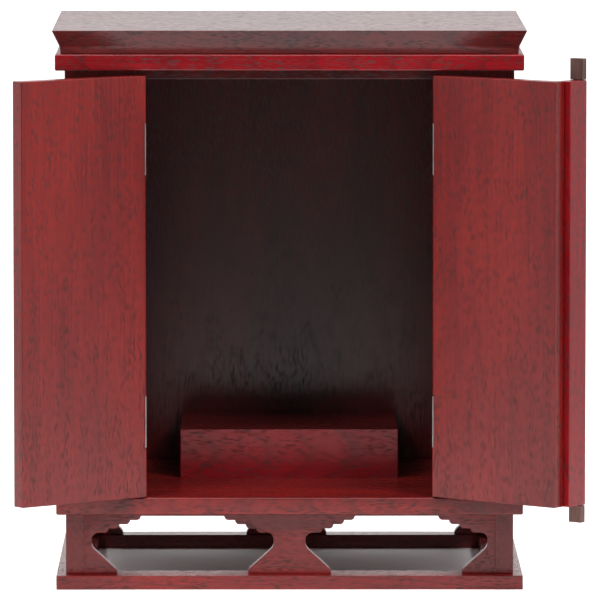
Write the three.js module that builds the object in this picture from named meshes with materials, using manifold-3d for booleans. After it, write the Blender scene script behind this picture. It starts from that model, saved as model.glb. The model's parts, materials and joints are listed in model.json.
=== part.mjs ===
// A household altar cabinet: a red-stained wooden case on a cusped plinth, its two doors standing
// open, with a loose stand on the floor inside. Millimetres, +Z up, the front faces -Y.
// The origin is on the underside of the front base rail, straight below the front of the case.

import * as THREE from 'three';
import { mergeVertices } from 'three/addons/utils/BufferGeometryUtils.js';
import Module from 'manifold-3d';

const wasm = await Module();
wasm.setup();

// ---- Driving dimensions ---------------------------------------------------------------------

// Heights, one course on top of the other
const BASE_HEIGHT = 12;
const PLINTH_HEIGHT = 52.5;
const LEDGE_HEIGHT = 15;
const CASE_HEIGHT = 366;
const MOULDING_HEIGHT = 14;
const CROWN_HEIGHT = 20.5;

// Footprints: half widths across X, and how far each course reaches to the front and the back
const CASE_HALF_WIDTH = 192;
const CASE_FRONT = 0;
const CASE_BACK = 282;
const COURSE_HALF_WIDTH = 200;
const COURSE_FRONT = -14;
const BASE_BACK = 290;
const CROWN_HALF_WIDTH = 202.5;
const CROWN_FRONT = -17;

// The crown's edge: a long bevel that curls under into a short upright foot
const CROWN_BEVEL_INSET = 6;
const CROWN_BEVEL_DROP = 12.8;
const CROWN_FOOT_INSET = 7.2;
const CROWN_CURL_DEPTH = 2;
const CURL_STEPS = 4;
const NOSE_RADIUS = 1.5;
const NOSE_STEPS = 3;

// Boards of the case
const SIDE_THICKNESS = 15.5;
const BACK_THICKNESS = 4;
const STILE_DEPTH = 13.5;
const STOP_RAIL_DEPTH = 12;
const STOP_RAIL_HEIGHT = 9;

// Doors
const DOOR_THICKNESS = 12.9;
const DOOR_BOTTOM_GAP = 0.5;
const DOOR_TOP_GAP = 4.2;
const MEETING_GAP = 0.8;
const LEFT_DOOR_OPEN = THREE.MathUtils.degToRad(143);
const RIGHT_DOOR_OPEN = THREE.MathUtils.degToRad(141.5);

// Butt hinges. The pin stands just in front of the face of the case and the doors turn on it.
const PIVOT_X = 130.75;
const PIVOT_Y = -1.8;
const EDGE_CLEARANCE = 0.5;
const LEAF_THICKNESS = 1;
const LEAF_WIDTH = 14.5;
const LEAF_HEIGHT = 44;
const LEAF_SETBACK = 0.2;
const GAIN_DEPTH = 1.3;
const GAIN_SLACK = 0.3;
const BARREL_RADIUS = 1.6;
const PIN_RADIUS = 0.7;
const PIN_SETBACK = 1;
const PIN_HOLE_RADIUS = 0.9;
const KNUCKLE_GAP = 0.3;
const ROUND_SEGMENTS = 20;
const HINGE_CENTRES = { lower: 144.6, upper: 378.5 };

// Meeting bar on the right door, with a metal tip at each end that laps the courses
const ASTRAGAL_WIDTH = 13.4;
const ASTRAGAL_DEPTH = 23.6;
const ASTRAGAL_OVERLAP = 5.8;
const GLUE_LINE = 0.3;
const TIP_WIDTH = 12.8;
const TIP_THICKNESS = 5.8;
const TIP_SETBACK = 0.4;
const TIP_UPPER_REACH = 18.4;
const TIP_LOWER_REACH = 15;
const TENON_WIDTH = 7;
const TENON_THICKNESS = 3;
const TENON_LENGTH = 12;

// Plinth panels with cusped openings (kozama)
const PANEL_THICKNESS = 13;
const PANEL_TOP_STRIP = 2.5;
const OPENING_MARGIN = 6.5;
const PILLAR_WAIST = 27.4;
const REAR_PILLAR_SHIFT = -2.1;
const FOOT_RADIUS = 7.4;
const FOOT_SPREAD = 22.1;
const FLANK_DEGREES = 42;
const LOWER_SHOULDER_RADIUS = 8.2;
const LOWER_SHOULDER_HEIGHT = 26.7;
const UPPER_SHOULDER_RADIUS = 6;
const SHOULDER_TOP = 35.4;
const LOBES = 4;
const LOBE_RUN = 9.2;
const FIRST_CORNER = 14.7;
const ARC_STEPS = 6;

// Base frame
const FRONT_RAIL_WIDTH = 36;
const REAR_RAIL_WIDTH = 24;
const SIDE_RAIL_WIDTH = 30;

// Loose stand, a mitred box without a bottom
const STAND_WIDTH = 190.5;
const STAND_HEIGHT = 42.8;
const STAND_FRONT = 129.5;
const STAND_BACK = 277;
const STAND_BOARD = 9;

// Solids that are joined or cut reach this far past each other
const OVERRUN = 1;
const WELD_DISTANCE = 1e-4;

// ---- Levels worked out from them ------------------------------------------------------------

const PLINTH_BOTTOM = BASE_HEIGHT;
const LEDGE_BOTTOM = PLINTH_BOTTOM + PLINTH_HEIGHT;
const FLOOR = LEDGE_BOTTOM + LEDGE_HEIGHT;
const MOULDING_BOTTOM = FLOOR + CASE_HEIGHT;
const CROWN_BOTTOM = MOULDING_BOTTOM + MOULDING_HEIGHT;
const TOP = CROWN_BOTTOM + CROWN_HEIGHT;

const CASE_INNER = CASE_HALF_WIDTH - SIDE_THICKNESS;
const DOOR_BOTTOM = FLOOR + DOOR_BOTTOM_GAP;
const DOOR_TOP = MOULDING_BOTTOM - DOOR_TOP_GAP;
const DOOR_FREE_EDGE = PIVOT_X - MEETING_GAP / 2;

// ---- Materials ------------------------------------------------------------------------------

const wood = (color) => new THREE.MeshStandardMaterial({ color, roughness: 0.4, metalness: 0 });
const metal = (color) => new THREE.MeshStandardMaterial({ color, roughness: 0.4, metalness: 0.85 });

const RED = 0x7c2a24;
const BRIGHT_RED = 0x8a1c1e;
const DEEP_RED = 0x641c1c;
const BRONZE = 0x6a4f48;
const STEEL = 0x9a9692;

// ---- Geometry helpers -----------------------------------------------------------------------

const ALONG_Y = new THREE.Matrix4().makeBasis(
  new THREE.Vector3(1, 0, 0), new THREE.Vector3(0, 0, 1), new THREE.Vector3(0, -1, 0));
const ALONG_X = new THREE.Matrix4().makeBasis(
  new THREE.Vector3(0, 1, 0), new THREE.Vector3(0, 0, 1), new THREE.Vector3(1, 0, 0));

function toManifold(geometry) {
  const bare = geometry.clone();
  bare.deleteAttribute('normal');
  bare.deleteAttribute('uv');
  const merged = mergeVertices(bare, WELD_DISTANCE);
  return new wasm.Manifold(new wasm.Mesh({
    numProp: 3,
    vertProperties: new Float32Array(merged.attributes.position.array),
    triVerts: new Uint32Array(merged.index.array),
  }));
}

function toGeometry(manifold) {
  const mesh = manifold.getMesh();
  const geometry = new THREE.BufferGeometry();
  geometry.setAttribute('position', new THREE.BufferAttribute(mesh.vertProperties, 3));
  geometry.setIndex(new THREE.BufferAttribute(mesh.triVerts, 1));
  return geometry;
}

/** A box given by its lowest and highest corners. */
function block(low, high) {
  const size = high.map((value, i) => value - low[i]);
  const centre = high.map((value, i) => (value + low[i]) / 2);
  return new THREE.BoxGeometry(...size).translate(...centre);
}

const outlineOf = (points) => new THREE.Shape(points.map(([x, y]) => new THREE.Vector2(x, y)));

/** An outline in X and Z, extruded from front to back. */
function extrudeAlongY(shape, front, back) {
  const geometry = new THREE.ExtrudeGeometry(shape, { depth: back - front, bevelEnabled: false });
  return geometry.applyMatrix4(ALONG_Y).translate(0, back, 0);
}

/** An outline in Y and Z, extruded from left to right. */
function extrudeAlongX(shape, left, right) {
  const geometry = new THREE.ExtrudeGeometry(shape, { depth: right - left, bevelEnabled: false });
  return geometry.applyMatrix4(ALONG_X).translate(left, 0, 0);
}

/** A cylinder that stands between two heights on the local Z axis. */
function standingCylinder(radius, bottom, top) {
  const geometry = new THREE.CylinderGeometry(radius, radius, top - bottom, ROUND_SEGMENTS);
  return geometry.rotateX(Math.PI / 2).translate(0, 0, (bottom + top) / 2);
}

// ---- Boards with a shaped edge on the front and both sides ------------------------------------

/** Edge of the crown as [inset, height] pairs, from the foot up to the top arris. */
function crownEdge() {
  const curl = new THREE.QuadraticBezierCurve(
    new THREE.Vector2(CROWN_FOOT_INSET, CROWN_BOTTOM),
    new THREE.Vector2(CROWN_FOOT_INSET, TOP - CROWN_BEVEL_DROP - CROWN_CURL_DEPTH),
    new THREE.Vector2(CROWN_BEVEL_INSET, TOP - CROWN_BEVEL_DROP));
  return [...curl.getPoints(CURL_STEPS).map((p) => [p.x, p.y]), [0, TOP]];
}

/** Square edge with both arrises rounded over, as [inset, height] pairs. */
function roundedEdge(bottom, top) {
  const points = [];
  for (const [centre, from] of [[bottom + NOSE_RADIUS, -90], [top - NOSE_RADIUS, 0]]) {
    for (let step = 0; step <= NOSE_STEPS; step += 1) {
      const angle = THREE.MathUtils.degToRad(from + (90 * step) / NOSE_STEPS);
      points.push([NOSE_RADIUS * (1 - Math.cos(angle)), centre + NOSE_RADIUS * Math.sin(angle)]);
    }
  }
  return points;
}

/** A board whose edge profile runs round the front and the two sides and mitres at the corners. */
function courseBoard(edge, halfWidth, front, back) {
  const falling = [...edge].reverse();
  const low = edge[0][1];
  const high = falling[0][1];
  const across = outlineOf([
    ...edge.map(([inset, z]) => [halfWidth - inset, z]),
    ...falling.map(([inset, z]) => [inset - halfWidth, z]),
  ]);
  const lengthwise = outlineOf([
    [back, low], [back, high], ...falling.map(([inset, z]) => [front + inset, z]),
  ]);
  const reach = halfWidth + OVERRUN;
  const acrossSolid = toManifold(extrudeAlongY(across, front - OVERRUN, back + OVERRUN));
  const lengthwiseSolid = toManifold(extrudeAlongX(lengthwise, -reach, reach));
  return toGeometry(acrossSolid.intersect(lengthwiseSolid));
}

// ---- Plinth panels ----------------------------------------------------------------------------

/** Points of an arc, in degrees, both ends included. */
function arcPoints(x, z, radius, fromDegrees, toDegrees) {
  return Array.from({ length: ARC_STEPS + 1 }, (unused, step) => {
    const turn = fromDegrees + ((toDegrees - fromDegrees) * step) / ARC_STEPS;
    const angle = THREE.MathUtils.degToRad(turn);
    return [x + radius * Math.cos(angle), z + radius * Math.sin(angle)];
  });
}

/**
 * One end of a cusped opening as [distance from the waist, height above the base] pairs: a convex
 * foot, a sloping flank and a round shoulder, then steps of wood with rounded noses up to the top.
 */
function kozamaEnd() {
  const footEnd = 90 - FLANK_DEGREES;
  const points = [
    ...arcPoints(FOOT_SPREAD - FOOT_RADIUS, 0, FOOT_RADIUS, 0, footEnd),
    ...arcPoints(LOWER_SHOULDER_RADIUS, LOWER_SHOULDER_HEIGHT, LOWER_SHOULDER_RADIUS,
      180 + footEnd, 180),
    ...arcPoints(UPPER_SHOULDER_RADIUS, SHOULDER_TOP - UPPER_SHOULDER_RADIUS,
      UPPER_SHOULDER_RADIUS, 180, 90),
  ];
  const rise = (PLINTH_HEIGHT - PANEL_TOP_STRIP - SHOULDER_TOP) / LOBES;
  for (let lobe = 0; lobe < LOBES; lobe += 1) {
    const corner = FIRST_CORNER + lobe * LOBE_RUN;
    const level = SHOULDER_TOP + (lobe + 1) * rise;
    points.push(...arcPoints(corner - rise, level, rise, -90, 0));
  }
  return points;
}

/** The whole opening between two waists, from the foot of one to the foot of the other. */
function kozamaOutline(waistLow, waistHigh) {
  const end = kozamaEnd();
  const low = end.map(([distance, height]) => [waistLow + distance, PLINTH_BOTTOM + height]);
  const high = end.map(([distance, height]) => [waistHigh - distance, PLINTH_BOTTOM + height]);
  return [...low, ...high.reverse()];
}

/** Panel outline between two ends, cut open from below by the given openings, left to right. */
function panelShape(start, end, openings) {
  return outlineOf([
    [start, PLINTH_BOTTOM],
    ...openings.flatMap(([low, high]) => kozamaOutline(low, high)),
    [end, PLINTH_BOTTOM], [end, LEDGE_BOTTOM], [start, LEDGE_BOTTOM],
  ]);
}

/** A front or rear panel, with two openings and a pillar between them that may stand off centre. */
function longPanel(pillarShift, front) {
  const outer = CASE_INNER - OPENING_MARGIN;
  const shape = panelShape(-CASE_INNER, CASE_INNER, [
    [-outer, pillarShift - PILLAR_WAIST / 2], [pillarShift + PILLAR_WAIST / 2, outer],
  ]);
  return extrudeAlongY(shape, front, front + PANEL_THICKNESS);
}

const SIDE_OPENING = [SIDE_THICKNESS + OPENING_MARGIN, CASE_BACK - SIDE_THICKNESS - OPENING_MARGIN];

// ---- Doors ------------------------------------------------------------------------------------

// A door is drawn in its own frame: the origin on the hinge pin, X running from the pin to the
// free edge when the door is shut, Y into the case. side is +1 for the left door, -1 for the right.

const DOOR_OUTER = CASE_FRONT - PIVOT_Y;
const DOOR_INNER = DOOR_OUTER + DOOR_THICKNESS;

/** The gains that let the hinge leaves into an edge, as outline points from the foot upwards. */
function gainedEdge(edgeX, direction) {
  return Object.values(HINGE_CENTRES).flatMap((centre) => {
    const low = centre - LEAF_HEIGHT / 2 - GAIN_SLACK;
    const high = centre + LEAF_HEIGHT / 2 + GAIN_SLACK;
    const floor = edgeX + direction * GAIN_DEPTH;
    return [[edgeX, low], [floor, low], [floor, high], [edgeX, high]];
  });
}

function doorGeometry(side) {
  const corners = [
    [EDGE_CLEARANCE, DOOR_BOTTOM], [DOOR_FREE_EDGE, DOOR_BOTTOM],
    [DOOR_FREE_EDGE, DOOR_TOP], [EDGE_CLEARANCE, DOOR_TOP],
    ...gainedEdge(EDGE_CLEARANCE, 1).reverse(),
  ];
  return extrudeAlongY(outlineOf(corners.map(([x, z]) => [side * x, z])), DOOR_OUTER, DOOR_INNER);
}

/** Lowest and highest X of a span measured from the pin, on either door. */
const span = (side, from, to) => [Math.min(side * from, side * to), Math.max(side * from, side * to)];

const ASTRAGAL_HIGH = DOOR_FREE_EDGE + ASTRAGAL_OVERLAP;
const ASTRAGAL_LOW = ASTRAGAL_HIGH - ASTRAGAL_WIDTH;
const ASTRAGAL_BACK = DOOR_OUTER - GLUE_LINE;
const ASTRAGAL_FACE = ASTRAGAL_BACK - ASTRAGAL_DEPTH;
const TIP_X = (ASTRAGAL_LOW + ASTRAGAL_HIGH) / 2;
const TIP_Y = ASTRAGAL_FACE + TIP_SETBACK + TIP_THICKNESS / 2;

/** A block centred on the tips' axis, on the right door. */
function tipBlock(width, thickness, bottom, top) {
  const [low, high] = span(-1, TIP_X - width / 2, TIP_X + width / 2);
  return block([low, TIP_Y - thickness / 2, bottom], [high, TIP_Y + thickness / 2, top]);
}

function astragalGeometry() {
  const [low, high] = span(-1, ASTRAGAL_LOW, ASTRAGAL_HIGH);
  const bar = toManifold(block([low, ASTRAGAL_FACE, DOOR_BOTTOM], [high, ASTRAGAL_BACK, DOOR_TOP]));
  const slackWidth = TENON_WIDTH + 2 * GLUE_LINE;
  const slackThickness = TENON_THICKNESS + 2 * GLUE_LINE;
  const depth = TENON_LENGTH + GLUE_LINE;
  const upper = tipBlock(slackWidth, slackThickness, DOOR_TOP - depth, DOOR_TOP + OVERRUN);
  const lower = tipBlock(slackWidth, slackThickness, DOOR_BOTTOM - OVERRUN, DOOR_BOTTOM + depth);
  return toGeometry(bar.subtract(toManifold(upper)).subtract(toManifold(lower)));
}

/** A metal tip with a tenon that runs into the end of the meeting bar. */
function tipGeometry(shoulder, end) {
  const up = Math.sign(end - shoulder);
  const seat = shoulder + up * GLUE_LINE;
  const tenon = [shoulder - up * TENON_LENGTH, seat + up * OVERRUN];
  const headSolid = tipBlock(TIP_WIDTH, TIP_THICKNESS, Math.min(seat, end), Math.max(seat, end));
  const tenonSolid = tipBlock(
    TENON_WIDTH, TENON_THICKNESS, Math.min(...tenon), Math.max(...tenon));
  return toGeometry(toManifold(headSolid).add(toManifold(tenonSolid)));
}

// ---- Hinges -----------------------------------------------------------------------------------

/**
 * One half of a butt hinge, drawn about the pin at the given height. toward is the X direction
 * from the pin to the leaf. The door's half carries the middle knuckle, the case's half the two
 * outer knuckles and the pin.
 */
function hingeHalf(centre, toward, isDoorHalf) {
  const bottom = centre - LEAF_HEIGHT / 2;
  const third = LEAF_HEIGHT / 3;
  const [low, high] = span(toward, EDGE_CLEARANCE, EDGE_CLEARANCE + LEAF_THICKNESS);
  const plateFront = DOOR_OUTER + LEAF_SETBACK;
  const plate = block([low, plateFront, bottom], [high, LEAF_WIDTH, bottom + LEAF_HEIGHT]);
  const knuckles = isDoorHalf ? [1] : [0, 2];

  let solid = toManifold(plate);
  for (const place of knuckles) {
    const from = bottom + place * third + (place === 0 ? 0 : KNUCKLE_GAP / 2);
    const to = bottom + (place + 1) * third - (place === 2 ? 0 : KNUCKLE_GAP / 2);
    const tongue = block([low, 0, from], [high, plateFront + OVERRUN, to]);
    solid = solid.add(toManifold(tongue));
    solid = solid.add(toManifold(standingCylinder(BARREL_RADIUS, from, to)));
  }
  if (isDoorHalf) {
    const bore = standingCylinder(PIN_HOLE_RADIUS, bottom, bottom + LEAF_HEIGHT);
    return toGeometry(solid.subtract(toManifold(bore)));
  }
  const pin = standingCylinder(
    PIN_RADIUS, bottom + PIN_SETBACK, bottom + LEAF_HEIGHT - PIN_SETBACK);
  return toGeometry(solid.add(toManifold(pin)));
}

// ---- Assembly ---------------------------------------------------------------------------------

const cabinet = new THREE.Group();

function place(parent, name, geometry, material) {
  const mesh = new THREE.Mesh(geometry, material);
  mesh.name = name;
  parent.add(mesh);
  return mesh;
}

// Crown and the moulding under it
place(cabinet, 'crown_board', courseBoard(crownEdge(), CROWN_HALF_WIDTH, CROWN_FRONT, CASE_BACK),
  wood(DEEP_RED));
place(cabinet, 'crown_moulding', courseBoard(
  roundedEdge(MOULDING_BOTTOM, CROWN_BOTTOM), COURSE_HALF_WIDTH, COURSE_FRONT, CASE_BACK),
wood(BRIGHT_RED));

// Case: side boards, back board, stiles and the rail the doors stop against
for (const [name, side] of [['left', -1], ['right', 1]]) {
  const [boardLow, boardHigh] = span(side, CASE_INNER, CASE_HALF_WIDTH);
  place(cabinet, `side_board_${name}`,
    block([boardLow, CASE_FRONT, FLOOR], [boardHigh, CASE_BACK, MOULDING_BOTTOM]), wood(RED));

  const innerEdge = PIVOT_X + EDGE_CLEARANCE;
  const outline = [
    [CASE_INNER, FLOOR], [CASE_INNER, MOULDING_BOTTOM], [innerEdge, MOULDING_BOTTOM],
    ...gainedEdge(innerEdge, 1).reverse(), [innerEdge, FLOOR],
  ];
  const shape = outlineOf(outline.map(([x, z]) => [side * x, z]));
  place(cabinet, `stile_${name}`, extrudeAlongY(shape, CASE_FRONT, STILE_DEPTH), wood(RED));
}
place(cabinet, 'back_board', block(
  [-CASE_INNER, CASE_BACK - BACK_THICKNESS, FLOOR], [CASE_INNER, CASE_BACK, MOULDING_BOTTOM]),
wood(DEEP_RED));
place(cabinet, 'stop_rail', block(
  [-CASE_INNER, STILE_DEPTH, MOULDING_BOTTOM - STOP_RAIL_HEIGHT],
  [CASE_INNER, STILE_DEPTH + STOP_RAIL_DEPTH, MOULDING_BOTTOM]), wood(RED));

// Ledge, which is also the floor inside
place(cabinet, 'ledge_board', courseBoard(
  roundedEdge(LEDGE_BOTTOM, FLOOR), COURSE_HALF_WIDTH, COURSE_FRONT, CASE_BACK), wood(RED));

// Plinth
place(cabinet, 'plinth_front', longPanel(0, CASE_FRONT), wood(RED));
place(cabinet, 'plinth_rear',
  longPanel(REAR_PILLAR_SHIFT, CASE_BACK - PANEL_THICKNESS), wood(RED));
const sideShape = panelShape(CASE_FRONT, CASE_BACK, [SIDE_OPENING]);
place(cabinet, 'plinth_left', extrudeAlongX(sideShape, -CASE_HALF_WIDTH, -CASE_INNER), wood(RED));
place(cabinet, 'plinth_right', extrudeAlongX(sideShape, CASE_INNER, CASE_HALF_WIDTH), wood(RED));

// Base frame, butt jointed: the front and rear rails run through
const frontRailBack = COURSE_FRONT + FRONT_RAIL_WIDTH;
const rearRailFront = BASE_BACK - REAR_RAIL_WIDTH;
place(cabinet, 'base_rail_front', block(
  [-COURSE_HALF_WIDTH, COURSE_FRONT, 0], [COURSE_HALF_WIDTH, frontRailBack, BASE_HEIGHT]), wood(RED));
place(cabinet, 'base_rail_rear', block(
  [-COURSE_HALF_WIDTH, rearRailFront, 0], [COURSE_HALF_WIDTH, BASE_BACK, BASE_HEIGHT]), wood(RED));
for (const [name, side] of [['left', -1], ['right', 1]]) {
  const [low, high] = span(side, COURSE_HALF_WIDTH - SIDE_RAIL_WIDTH, COURSE_HALF_WIDTH);
  place(cabinet, `base_rail_${name}`,
    block([low, frontRailBack, 0], [high, rearRailFront, BASE_HEIGHT]), wood(RED));
}

// Loose stand: top and front mitred along the front arris, the other walls under the top
const standTop = FLOOR + STAND_HEIGHT;
const standInner = standTop - STAND_BOARD;
const standHalf = STAND_WIDTH / 2;
place(cabinet, 'stand_top', extrudeAlongX(outlineOf([
  [STAND_FRONT, standTop], [STAND_FRONT + STAND_BOARD, standInner],
  [STAND_BACK, standInner], [STAND_BACK, standTop],
]), -standHalf, standHalf), wood(DEEP_RED));
place(cabinet, 'stand_front', extrudeAlongX(outlineOf([
  [STAND_FRONT, FLOOR], [STAND_FRONT + STAND_BOARD, FLOOR],
  [STAND_FRONT + STAND_BOARD, standInner], [STAND_FRONT, standTop],
]), -standHalf, standHalf), wood(RED));
place(cabinet, 'stand_back', block(
  [-standHalf, STAND_BACK - STAND_BOARD, FLOOR], [standHalf, STAND_BACK, standInner]), wood(RED));
for (const [name, side] of [['left', -1], ['right', 1]]) {
  const [low, high] = span(side, standHalf - STAND_BOARD, standHalf);
  place(cabinet, `stand_side_${name}`, block(
    [low, STAND_FRONT + STAND_BOARD, FLOOR], [high, STAND_BACK - STAND_BOARD, standInner]), wood(RED));
}

// Doors, each with its own halves of the hinges, turned out on their pins
for (const [name, side, open] of [['left', 1, -LEFT_DOOR_OPEN], ['right', -1, RIGHT_DOOR_OPEN]]) {
  const pinX = -side * PIVOT_X;
  const door = new THREE.Group();
  door.position.set(pinX, PIVOT_Y, 0);
  door.rotation.z = open;
  cabinet.add(door);
  place(door, `door_${name}`, doorGeometry(side), wood(RED));

  const fixed = new THREE.Group();
  fixed.position.set(pinX, PIVOT_Y, 0);
  cabinet.add(fixed);
  for (const [level, centre] of Object.entries(HINGE_CENTRES)) {
    place(door, `hinge_${name}_${level}_door_leaf`, hingeHalf(centre, side, true), metal(STEEL));
    place(fixed, `hinge_${name}_${level}_case_leaf`, hingeHalf(centre, -side, false), metal(STEEL));
  }

  if (name === 'right') {
    place(door, 'meeting_bar', astragalGeometry(), wood(BRIGHT_RED));
    place(door, 'meeting_bar_tip_upper',
      tipGeometry(DOOR_TOP, DOOR_TOP + TIP_UPPER_REACH), metal(BRONZE));
    place(door, 'meeting_bar_tip_lower',
      tipGeometry(DOOR_BOTTOM, DOOR_BOTTOM - TIP_LOWER_REACH), metal(BRONZE));
  }
}

export default cabinet;
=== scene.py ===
"""Looks of a household altar cabinet: red-stained open-pored wood, doors open, a loose stand inside.

The CAD boards stay as they are. Each gets its arrises eased and a wood of its own, whose grain,
growth rings and pores follow the way the board was sawn. Lengths are in metres.
"""

import json
import math

import bpy
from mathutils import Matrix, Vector


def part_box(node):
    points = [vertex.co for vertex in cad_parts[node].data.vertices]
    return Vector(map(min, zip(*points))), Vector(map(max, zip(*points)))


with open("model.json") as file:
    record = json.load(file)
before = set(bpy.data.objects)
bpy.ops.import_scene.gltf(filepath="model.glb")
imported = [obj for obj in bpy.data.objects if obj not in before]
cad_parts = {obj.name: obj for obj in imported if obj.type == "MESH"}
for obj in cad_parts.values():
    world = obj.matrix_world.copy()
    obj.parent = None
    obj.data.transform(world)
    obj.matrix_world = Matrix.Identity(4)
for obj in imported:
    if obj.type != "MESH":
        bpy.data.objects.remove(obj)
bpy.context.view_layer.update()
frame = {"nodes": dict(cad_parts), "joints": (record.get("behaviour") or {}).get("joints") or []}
nodes = frame["nodes"]


# ---- Node trees -------------------------------------------------------------------------------


class Tree:
    """One material's node tree, with short calls for the nodes used here."""

    def __init__(self, name):
        self.material = bpy.data.materials.new(name)
        self.material.use_nodes = True
        self.tree = self.material.node_tree
        self.shader = self.tree.nodes["Principled BSDF"]

    def put(self, value, socket):
        """Link an output to a socket, or set the socket to a plain value."""
        if isinstance(value, bpy.types.NodeSocket):
            self.tree.links.new(value, socket)
        else:
            socket.default_value = value

    def math(self, operation, first, second=0.0, third=0.0, clamp=False):
        node = self.tree.nodes.new("ShaderNodeMath")
        node.operation = operation
        node.use_clamp = clamp
        self.put(first, node.inputs[0])
        self.put(second, node.inputs[1])
        self.put(third, node.inputs[2])
        return node.outputs[0]

    def scaled(self, vector, scale):
        node = self.tree.nodes.new("ShaderNodeVectorMath")
        node.operation = "MULTIPLY"
        self.put(vector, node.inputs[0])
        node.inputs[1].default_value = scale
        return node.outputs[0]

    def noise(self, vector, scale, detail=2.0, roughness=0.5):
        node = self.tree.nodes.new("ShaderNodeTexNoise")
        self.put(self.scaled(vector, scale), node.inputs["Vector"])
        node.inputs["Scale"].default_value = 1.0
        node.inputs["Detail"].default_value = detail
        node.inputs["Roughness"].default_value = roughness
        return node.outputs["Fac"]

    def voronoi(self, vector, scale):
        node = self.tree.nodes.new("ShaderNodeTexVoronoi")
        self.put(self.scaled(vector, scale), node.inputs["Vector"])
        node.inputs["Scale"].default_value = 1.0
        return node

    def span(self, value, low, high, to_low=0.0, to_high=1.0):
        """Smoothly carry a range of one value onto another."""
        node = self.tree.nodes.new("ShaderNodeMapRange")
        node.interpolation_type = "SMOOTHSTEP"
        self.put(value, node.inputs["Value"])
        node.inputs["From Min"].default_value = low
        node.inputs["From Max"].default_value = high
        node.inputs["To Min"].default_value = to_low
        node.inputs["To Max"].default_value = to_high
        return node.outputs["Result"]

    def blend(self, factor, first, second):
        """Mix two colours."""
        node = self.tree.nodes.new("ShaderNodeMix")
        node.data_type = "RGBA"
        self.put(factor, node.inputs["Factor"])
        self.put(first, node.inputs[6])
        self.put(second, node.inputs[7])
        return node.outputs[2]

    def bump(self, height, strength, distance):
        node = self.tree.nodes.new("ShaderNodeBump")
        node.inputs["Strength"].default_value = strength
        node.inputs["Distance"].default_value = distance
        self.put(height, node.inputs["Height"])
        self.put(node.outputs["Normal"], self.shader.inputs["Normal"])

    def board_coordinates(self, turn, origin):
        """Object coordinates seen from the board: X across its face, Y through it, Z along the grain."""
        coords = self.tree.nodes.new("ShaderNodeTexCoord")
        shift = self.tree.nodes.new("ShaderNodeVectorMath")
        shift.operation = "SUBTRACT"
        self.put(coords.outputs["Object"], shift.inputs[0])
        shift.inputs[1].default_value = origin
        turned = self.tree.nodes.new("ShaderNodeMapping")
        turned.inputs["Rotation"].default_value = turn
        self.put(shift.outputs[0], turned.inputs["Vector"])
        return turned.outputs[0]


# ---- Stage: camera, floor, lights -------------------------------------------------------------

CAMERA_PLACE = Vector((-0.01746, -6.4758, 0.8661))
CAMERA_TARGET = Vector((0.0089, -0.014, 0.2495))
SENSOR = 36.0
LENS = 456.0
CLIP_END = 60.0

WHITE = (1.0, 1.0, 1.0, 1.0)
FLOOR_HALF = 12.0
FLOOR_BRIGHTNESS = 0.86
FLOOR_IN_FRONT = 0.12
FLOOR_DIMMEST_Y = -2.5
FLOOR_PALEST_Y = -0.35
FLOOR_GLOW = 0.55
FLOOR_ROUGHNESS = 0.9
FLOOR_SPECULAR = 0.1
FOOTPRINT_HALF_WIDTH = 0.2
FOOTPRINT_FRONT = 0.0
FOOTPRINT_BACK = 0.29

BRIGHT_BEHIND = 1.1
DIM_FRONT = 0.12
WORLD_DIMMEST_Y = -0.75
WORLD_BRIGHTEST_Y = 0.0

LIGHT_TARGET = Vector((0.0, 0.0, 0.25))
SIDE_LIGHT_OUT = 1.3
SIDE_LIGHT_Y = -1.65
SIDE_LIGHT_UP = 2.1
SIDE_LIGHT_SIZE = 0.9
TOP_LIGHT_PLACE = (0.0, -0.9, 2.3)
TOP_LIGHT_WIDTH = 1.6
TOP_LIGHT_DEPTH = 1.2
LEFT_LIGHT_WATTS = 9.5
RIGHT_LIGHT_WATTS = 11.5
TOP_LIGHT_WATTS = 4.0
BEAM_SPREAD = math.radians(75)


def aim(thing, target):
    """Turn a camera or light so that it looks at a point."""
    thing.rotation_euler = (target - thing.location).to_track_quat("-Z", "Y").to_euler()


def add_camera():
    data = bpy.data.cameras.new("camera")
    data.sensor_width = SENSOR
    data.lens = LENS
    data.clip_end = CLIP_END
    camera = bpy.data.objects.new("camera", data)
    camera.location = CAMERA_PLACE
    aim(camera, CAMERA_TARGET)
    bpy.context.scene.collection.objects.link(camera)
    bpy.context.scene.camera = camera


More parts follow.
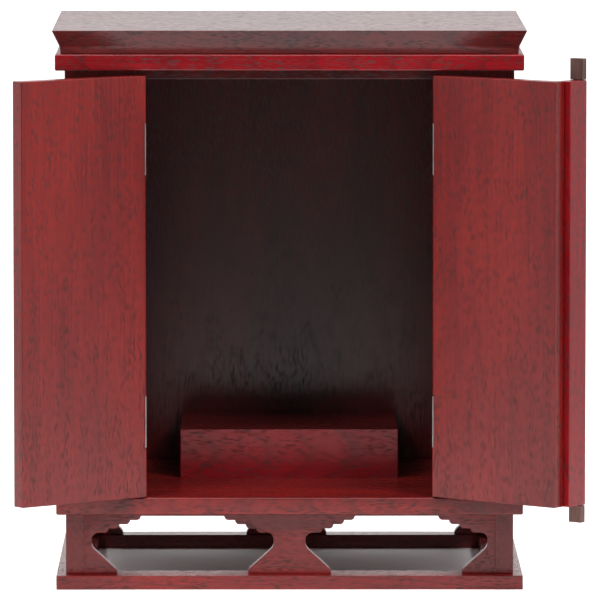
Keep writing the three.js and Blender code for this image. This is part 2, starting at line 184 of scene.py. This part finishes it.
def add_floor():
    """A pale floor, darker in front for what it lights or mirrors.

    Only for the camera, and only outside the cabinet's footprint, a glow lifts it to white.
    """
    mesh = bpy.data.meshes.new("floor")
    corners = [(-FLOOR_HALF, -FLOOR_HALF, 0.0), (FLOOR_HALF, -FLOOR_HALF, 0.0),
               (FLOOR_HALF, FLOOR_HALF, 0.0), (-FLOOR_HALF, FLOOR_HALF, 0.0)]
    mesh.from_pydata(corners, [], [(0, 1, 2, 3)])
    floor = bpy.data.objects.new("floor", mesh)
    tree = Tree("pale_floor")
    shader = tree.shader
    coords = tree.tree.nodes.new("ShaderNodeTexCoord")
    split = tree.tree.nodes.new("ShaderNodeSeparateXYZ")
    tree.put(coords.outputs["Object"], split.inputs[0])
    pale = tree.span(split.outputs["Y"], FLOOR_DIMMEST_Y, FLOOR_PALEST_Y,
                     FLOOR_IN_FRONT, FLOOR_BRIGHTNESS)
    tree.put(pale, shader.inputs["Base Color"])
    off_centre = tree.math("ABSOLUTE", split.outputs["X"])
    sideways = tree.math("GREATER_THAN", off_centre, FOOTPRINT_HALF_WIDTH)
    behind = tree.math("GREATER_THAN", split.outputs["Y"], FOOTPRINT_BACK)
    ahead = tree.math("LESS_THAN", split.outputs["Y"], FOOTPRINT_FRONT)
    outside = tree.math("MAXIMUM", sideways, tree.math("MAXIMUM", behind, ahead))
    seen = tree.tree.nodes.new("ShaderNodeLightPath").outputs["Is Camera Ray"]
    lift = tree.math("SUBTRACT", FLOOR_BRIGHTNESS + FLOOR_GLOW, pale)
    glow = tree.math("MULTIPLY", tree.math("MULTIPLY", lift, seen), outside)
    shader.inputs["Roughness"].default_value = FLOOR_ROUGHNESS
    shader.inputs["Specular IOR Level"].default_value = FLOOR_SPECULAR
    shader.inputs["Emission Color"].default_value = WHITE
    tree.put(glow, shader.inputs["Emission Strength"])
    mesh.materials.append(tree.material)
    bpy.context.scene.collection.objects.link(floor)


def add_world():
    """White all round to the eye; as a light source, dimmer on the side the camera stands."""
    world = bpy.data.worlds.new("studio")
    world.use_nodes = True
    tree = world.node_tree
    background = tree.nodes["Background"]
    coords = tree.nodes.new("ShaderNodeTexCoord")
    split = tree.nodes.new("ShaderNodeSeparateXYZ")
    tree.links.new(coords.outputs["Generated"], split.inputs[0])
    span = tree.nodes.new("ShaderNodeMapRange")
    span.interpolation_type = "SMOOTHSTEP"
    span.inputs["From Min"].default_value = WORLD_DIMMEST_Y
    span.inputs["From Max"].default_value = WORLD_BRIGHTEST_Y
    span.inputs["To Min"].default_value = DIM_FRONT
    span.inputs["To Max"].default_value = BRIGHT_BEHIND
    tree.links.new(split.outputs["Y"], span.inputs["Value"])
    path = tree.nodes.new("ShaderNodeLightPath")
    seen = tree.nodes.new("ShaderNodeMath")
    seen.operation = "MAXIMUM"
    tree.links.new(span.outputs["Result"], seen.inputs[0])
    tree.links.new(path.outputs["Is Camera Ray"], seen.inputs[1])
    background.inputs["Color"].default_value = WHITE
    tree.links.new(seen.outputs[0], background.inputs["Strength"])
    bpy.context.scene.world = world


def add_softbox(name, place, width, height, watts):
    """A soft light, hidden from the camera, that points at the cabinet."""
    data = bpy.data.lights.new(name, "AREA")
    data.shape = "RECTANGLE"
    data.size = width
    data.size_y = height
    data.energy = watts
    data.spread = BEAM_SPREAD
    light = bpy.data.objects.new(name, data)
    light.location = Vector(place)
    aim(light, LIGHT_TARGET)
    light.visible_camera = False
    bpy.context.scene.collection.objects.link(light)


def add_lights():
    for name, side, watts in (("softbox_left", -1.0, LEFT_LIGHT_WATTS),
                              ("softbox_right", 1.0, RIGHT_LIGHT_WATTS)):
        place = (side * SIDE_LIGHT_OUT, SIDE_LIGHT_Y, SIDE_LIGHT_UP)
        add_softbox(name, place, SIDE_LIGHT_SIZE, SIDE_LIGHT_SIZE, watts)
    add_softbox("softbox_top", TOP_LIGHT_PLACE, TOP_LIGHT_WIDTH, TOP_LIGHT_DEPTH, TOP_LIGHT_WATTS)


# ---- Wood -------------------------------------------------------------------------------------

# Three stain colours, partly real stain and partly painted light: the 'dark' stain also paints the shade on
# boards that lie in shadow or face away from the lamps, and the 'bright' stain paints light on faces that
# catch it. Each board's stain was picked to match how that board looks under the lamps.
STAINS_AND_PAINTED_LIGHT = {
    "red": {
        "light": (0.19, 0.0085, 0.0065),
        "deep": (0.10, 0.0035, 0.0035),
        "pore": (0.022, 0.0015, 0.0015),
    },
    "bright": {
        "light": (0.21, 0.0030, 0.0060),
        "deep": (0.12, 0.0012, 0.0035),
        "pore": (0.035, 0.004, 0.005),
    },
    "dark": {
        "light": (0.105, 0.0060, 0.0060),
        "deep": (0.050, 0.0025, 0.0030),
        "pore": (0.010, 0.001, 0.001),
    },
}

# Noise scales are per metre: across the face, through the board, along the grain.
SEED_SHIFT = (0.37, 0.11, 0.53)
WANDER_SCALE = (9.0, 9.0, 4.0)
WANDER_REACH = 0.022
WAVER_SCALE = (60.0, 60.0, 14.0)
WAVER_REACH = 0.0022
FIBRE_SCALE = (900.0, 900.0, 9.0)
MOTTLE_SCALE = (22.0, 22.0, 5.0)
TONE_WEIGHT = 0.9
TONE_DEEPEST = 0.55
TONE_LIGHTEST = 1.25

UNEVEN_YEARS = 2.2
UNEVEN_SCALE = (0.45, 1.0, 1.0)
YEAR_WEIGHT_SCALE = (0.8, 1.0, 1.0)
LATE_WOOD_FALL = 3.0
LATE_WOOD_RISE = 0.12

PORE_SCALE = (700.0, 700.0, 130.0)
PORE_RIM = 0.48
PORE_CORE = 0.26
CROWD_SCALE = (120.0, 120.0, 30.0)

WOOD_IOR = 1.5
WOOD_ROUGHNESS = 0.19
FIBRE_ROUGHNESS = 0.12
PORE_ROUGHNESS = 0.25
PORE_RELIEF = -0.8
FIGURE_RELIEF = -0.15
RELIEF_STRENGTH = 0.25
RELIEF_DEPTH = 0.0002


def opaque(colour):
    return (*colour, 1.0)


def shifted_by_seed(tree, board, seed):
    """The board's coordinates, moved so that no two boards share a pattern."""
    shifted = tree.tree.nodes.new("ShaderNodeVectorMath")
    shifted.operation = "ADD"
    tree.put(board, shifted.inputs[0])
    shifted.inputs[1].default_value = tuple(seed * step for step in SEED_SHIFT)
    return shifted.outputs[0]


def distance_to_pith(tree, board, grain, pith, tilt):
    """How far each point lies from the log's wandering heart."""
    split = tree.tree.nodes.new("ShaderNodeSeparateXYZ")
    tree.put(board, split.inputs[0])
    wander = tree.math("SUBTRACT", tree.noise(grain, WANDER_SCALE, 2.0), 0.5)
    waver = tree.math("SUBTRACT", tree.noise(grain, WAVER_SCALE, 1.0), 0.5)
    drift = tree.math("MULTIPLY_ADD", wander, WANDER_REACH, tree.math("MULTIPLY", waver, WAVER_REACH))

    across = tree.math("ADD", tree.math("SUBTRACT", split.outputs["X"], pith[0]), drift)
    leaning = tree.math("MULTIPLY_ADD", split.outputs["Z"], tilt, split.outputs["Y"])
    through = tree.math("SUBTRACT", leaning, pith[1])
    across_squared = tree.math("MULTIPLY", across, across)
    through_squared = tree.math("MULTIPLY", through, through)
    return tree.math("SQRT", tree.math("ADD", across_squared, through_squared))


def growth_figure(tree, radius, ring, seed):
    """The dark late wood of each year's ring, with years of uneven width and weight."""
    years = tree.math("DIVIDE", radius, ring)
    year_vector = tree.tree.nodes.new("ShaderNodeCombineXYZ")
    tree.put(years, year_vector.inputs[0])
    year_vector.inputs[1].default_value = seed
    uneven = tree.noise(year_vector.outputs[0], UNEVEN_SCALE, 1.0)
    phase = tree.math("FRACT", tree.math("MULTIPLY_ADD", uneven, UNEVEN_YEARS, years))
    line = tree.math("POWER", tree.math("SUBTRACT", 1.0, phase), LATE_WOOD_FALL)
    rise = tree.span(phase, 0.0, LATE_WOOD_RISE)
    late = tree.math("MULTIPLY", line, rise)
    weight = tree.span(tree.noise(year_vector.outputs[0], YEAR_WEIGHT_SCALE, 0.0), 0.3, 0.7, 0.25, 1.0)
    return tree.math("MULTIPLY", late, weight)


def open_pores(tree, grain):
    """Short dashes along the grain, in looser and denser crowds."""
    cells = tree.voronoi(grain, PORE_SCALE)
    dash = tree.span(cells.outputs["Distance"], PORE_RIM, PORE_CORE)
    crowd = tree.span(tree.noise(grain, CROWD_SCALE, 1.0), 0.38, 0.62, 0.35, 1.0)
    return tree.math("MULTIPLY", dash, crowd)


def wood(name, stain_and_painted_light, turn, origin, pith=(0.0, -0.1), tilt=0.095, ring=0.0036,
         ring_strength=0.8, pore_strength=0.85, seed=0.0):
    """Open-pored wood cut from a log whose heart lies at pith (across, through) and leans by tilt."""
    tree = Tree(name)
    # The chosen stain also carries the painted light or painted shade set for this board.
    colours = STAINS_AND_PAINTED_LIGHT[stain_and_painted_light]
    board = tree.board_coordinates(turn, origin)
    grain = shifted_by_seed(tree, board, seed)
    radius = distance_to_pith(tree, board, grain, pith, tilt)
    figure = growth_figure(tree, radius, ring, seed)
    fibre = tree.noise(grain, FIBRE_SCALE, 2.0, 0.6)
    mottle = tree.noise(grain, MOTTLE_SCALE, 2.0)
    pore = open_pores(tree, grain)

    clouds = tree.math("MULTIPLY", mottle, TONE_WEIGHT)
    tone = tree.math("ADD", clouds, tree.math("MULTIPLY", fibre, TONE_WEIGHT))
    tone = tree.span(tone, TONE_DEEPEST, TONE_LIGHTEST)
    colour = tree.blend(tone, opaque(colours["deep"]), opaque(colours["light"]))
    dark_line = tree.math("MULTIPLY", figure, ring_strength, clamp=True)
    colour = tree.blend(dark_line, colour, opaque(colours["pore"]))
    colour = tree.blend(tree.math("MULTIPLY", pore, pore_strength), colour, opaque(colours["pore"]))
    tree.put(colour, tree.shader.inputs["Base Color"])

    smooth = tree.math("MULTIPLY_ADD", fibre, FIBRE_ROUGHNESS, WOOD_ROUGHNESS)
    roughness = tree.math("MULTIPLY_ADD", pore, PORE_ROUGHNESS, smooth)
    tree.put(roughness, tree.shader.inputs["Roughness"])
    tree.shader.inputs["IOR"].default_value = WOOD_IOR

    ridges = tree.math("MULTIPLY_ADD", figure, FIGURE_RELIEF, fibre)
    tree.bump(tree.math("MULTIPLY_ADD", pore, PORE_RELIEF, ridges), RELIEF_STRENGTH, RELIEF_DEPTH)
    return tree.material


METAL_CLOUD_SCALE = (60.0, 60.0, 40.0)
STROKE_ROUGHNESS = 0.2
STROKE_RELIEF = 0.15
STROKE_DEPTH = 0.0001


def metal(name, light, dark, roughness, brush):
    """Satin metal, brushed along the object's height."""
    tree = Tree(name)
    coords = tree.tree.nodes.new("ShaderNodeTexCoord")
    place = coords.outputs["Object"]
    strokes = tree.noise(place, brush, 2.0, 0.6)
    cloud = tree.noise(place, METAL_CLOUD_SCALE, 2.0)
    tone = tree.math("ADD", tree.math("MULTIPLY", strokes, 0.6), tree.math("MULTIPLY", cloud, 0.4))
    tree.put(tree.blend(tree.span(tone, 0.35, 0.65), opaque(dark), opaque(light)),
             tree.shader.inputs["Base Color"])
    tree.shader.inputs["Metallic"].default_value = 1.0
    uneven = tree.math("MULTIPLY_ADD", strokes, STROKE_ROUGHNESS, roughness)
    tree.put(uneven, tree.shader.inputs["Roughness"])
    tree.bump(strokes, STROKE_RELIEF, STROKE_DEPTH)
    return tree.material


# ---- Boards -----------------------------------------------------------------------------------

QUARTER = math.pi / 2
UPRIGHT = (0.0, 0.0, 0.0)
CROSSWISE = (0.0, -QUARTER, 0.0)
FRONT_TO_BACK = (QUARTER, 0.0, 0.0)
EDGE_SOFTNESS = 0.0007
PLINTH_SOFTNESS = 0.0005
TIP_SOFTNESS = 0.0004
HINGE_SOFTNESS = 0.0001
EDGE_SEGMENTS = 2
WELD_DISTANCE = 1e-6
EASED_ABOVE = math.radians(32)
SMOOTH_BELOW = math.radians(50)


def door_turn(joint_name):
    """The turn about Z that brings an open door's coordinates back to the shut door."""
    joint = next(j for j in frame["joints"] if j["name"] == joint_name)
    return math.radians(abs(joint["range_deg"][0])) * -joint["axis"][2]


def smooth_by_angle(limit):
    """A geometry node group that shades smooth except over edges sharper than the limit."""
    group = bpy.data.node_groups.new("smooth_by_angle", "GeometryNodeTree")
    group.interface.new_socket("Geometry", in_out="INPUT", socket_type="NodeSocketGeometry")
    group.interface.new_socket("Geometry", in_out="OUTPUT", socket_type="NodeSocketGeometry")
    start = group.nodes.new("NodeGroupInput")
    end = group.nodes.new("NodeGroupOutput")
    faces = group.nodes.new("GeometryNodeSetShadeSmooth")
    faces.domain = "FACE"
    edges = group.nodes.new("GeometryNodeSetShadeSmooth")
    edges.domain = "EDGE"
    angle = group.nodes.new("GeometryNodeInputMeshEdgeAngle")
    sharp = group.nodes.new("FunctionNodeCompare")
    sharp.data_type = "FLOAT"
    sharp.operation = "GREATER_THAN"
    sharp.inputs["B"].default_value = limit
    group.links.new(start.outputs[0], faces.inputs["Geometry"])
    faces.inputs["Shade Smooth"].default_value = True
    group.links.new(faces.outputs["Geometry"], edges.inputs["Geometry"])
    group.links.new(angle.outputs["Unsigned Angle"], sharp.inputs["A"])
    group.links.new(sharp.outputs["Result"], edges.inputs["Selection"])
    edges.inputs["Shade Smooth"].default_value = False
    group.links.new(edges.outputs["Geometry"], end.inputs[0])
    return group


SMOOTHING = smooth_by_angle(SMOOTH_BELOW)


def ease_edges(thing, width):
    """Round the arrises a little, without touching the CAD mesh under the modifiers."""
    weld = thing.modifiers.new("weld", "WELD")
    weld.merge_threshold = WELD_DISTANCE
    bevel = thing.modifiers.new("eased_arrises", "BEVEL")
    bevel.width = width
    bevel.segments = EDGE_SEGMENTS
    bevel.limit_method = "ANGLE"
    bevel.angle_limit = EASED_ABOVE
    bevel.use_clamp_overlap = False
    smooth = thing.modifiers.new("smooth_by_angle", "NODES")
    smooth.node_group = SMOOTHING
    weighted = thing.modifiers.new("weighted_normals", "WEIGHTED_NORMAL")
    weighted.keep_sharp = True


def dress(node, material, edge=EDGE_SOFTNESS):
    thing = nodes[node]
    thing.data.materials.clear()
    thing.data.materials.append(material)
    ease_edges(thing, edge)


def middle(node):
    low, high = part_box(node)
    return (low + high) / 2


def dress_case():
    # The crown, back board and stop rail take the 'dark' stain partly as painted shade, and the moulding
    # takes the 'bright' stain partly as painted light.
    crown = middle("crown_board")
    dress("crown_board", wood("crown_wood", "dark", CROSSWISE, crown, pith=(-0.02, -0.09), seed=1.0))
    moulding = middle("crown_moulding")
    dress("crown_moulding", wood("moulding_wood", "bright", CROSSWISE, moulding, seed=2.0))
    for seed, side in ((3.0, "left"), (4.0, "right")):
        board = f"side_board_{side}"
        dress(board, wood(f"{board}_wood", "red", UPRIGHT, middle(board), pith=(0.2, 0.05), seed=seed))
        stile = f"stile_{side}"
        dress(stile, wood(f"{stile}_wood", "red", UPRIGHT, middle(stile), pith=(0.1, -0.2), seed=seed + 4))
    low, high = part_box("back_board")
    heart = Vector((0.0, low.y, high.z))
    dress("back_board", wood("back_board_wood", "dark", UPRIGHT, heart, seed=9.0))
    dress("stop_rail", wood("stop_rail_wood", "dark", CROSSWISE, middle("stop_rail"), seed=10.0))
    dress("ledge_board", wood("ledge_wood", "red", CROSSWISE, middle("ledge_board"), seed=11.0))


def dress_plinth():
    for seed, place, turn in ((12.0, "front", CROSSWISE), (13.0, "rear", CROSSWISE),
                              (14.0, "left", FRONT_TO_BACK), (15.0, "right", FRONT_TO_BACK)):
        for step, kind in ((4.0, "plinth"), (8.0, "base_rail")):
            board = f"{kind}_{place}"
            stained = wood(f"{board}_wood", "red", turn, middle(board), pith=(0.12, -0.1), seed=seed + step)
            dress(board, stained, edge=PLINTH_SOFTNESS)


def dress_stand():
    # The top takes the 'dark' stain and the front the 'bright' one: painted shade on the top and painted
    # light on the front of one wood.
    dress("stand_top", wood("stand_top_wood", "dark", CROSSWISE, middle("stand_top"), seed=31.0))
    dress("stand_front", wood("stand_front_wood", "bright", CROSSWISE, middle("stand_front"), seed=32.0))
    dress("stand_back", wood("stand_back_wood", "red", CROSSWISE, middle("stand_back"), seed=33.0))
    for seed, side in ((34.0, "left"), (35.0, "right")):
        board = f"stand_side_{side}"
        dress(board, wood(f"{board}_wood", "red", FRONT_TO_BACK, middle(board), seed=seed))


def dress_doors():
    for seed, side in ((40.0, "left"), (41.0, "right")):
        turn = (0.0, 0.0, door_turn(f"{side}_door_hinge"))
        board = f"door_{side}"
        dress(board, wood(f"{board}_wood", "red", turn, middle(board), pith=(0.25, -0.2), tilt=0.03,
                          ring_strength=0.3, seed=seed))
    turn = (0.0, 0.0, door_turn("right_door_hinge"))
    bar = middle("meeting_bar")
    # The bar takes the 'bright' stain partly as painted light on its lit face.
    dress("meeting_bar", wood("meeting_bar_wood", "bright", turn, bar, pith=(0.05, -0.2), seed=42.0))


def dress_metal():
    bronze = metal("bronzed_tip", light=(0.20, 0.115, 0.10), dark=(0.11, 0.06, 0.05),
                   roughness=0.32, brush=(900.0, 900.0, 25.0))
    for end in ("upper", "lower"):
        dress(f"meeting_bar_tip_{end}", bronze, edge=TIP_SOFTNESS)
    steel = metal("hinge_steel", light=(0.62, 0.60, 0.58), dark=(0.42, 0.40, 0.38),
                  roughness=0.28, brush=(700.0, 700.0, 60.0))
    for side in ("left", "right"):
        for level in ("lower", "upper"):
            for half in ("door", "case"):
                dress(f"hinge_{side}_{level}_{half}_leaf", steel, edge=HINGE_SOFTNESS)


# ---- Making -----------------------------------------------------------------------------------

add_camera()
add_floor()
add_world()
add_lights()
bpy.context.scene.view_settings.view_transform = "Standard"

dress_case()
dress_plinth()
dress_stand()
dress_doors()
dress_metal()
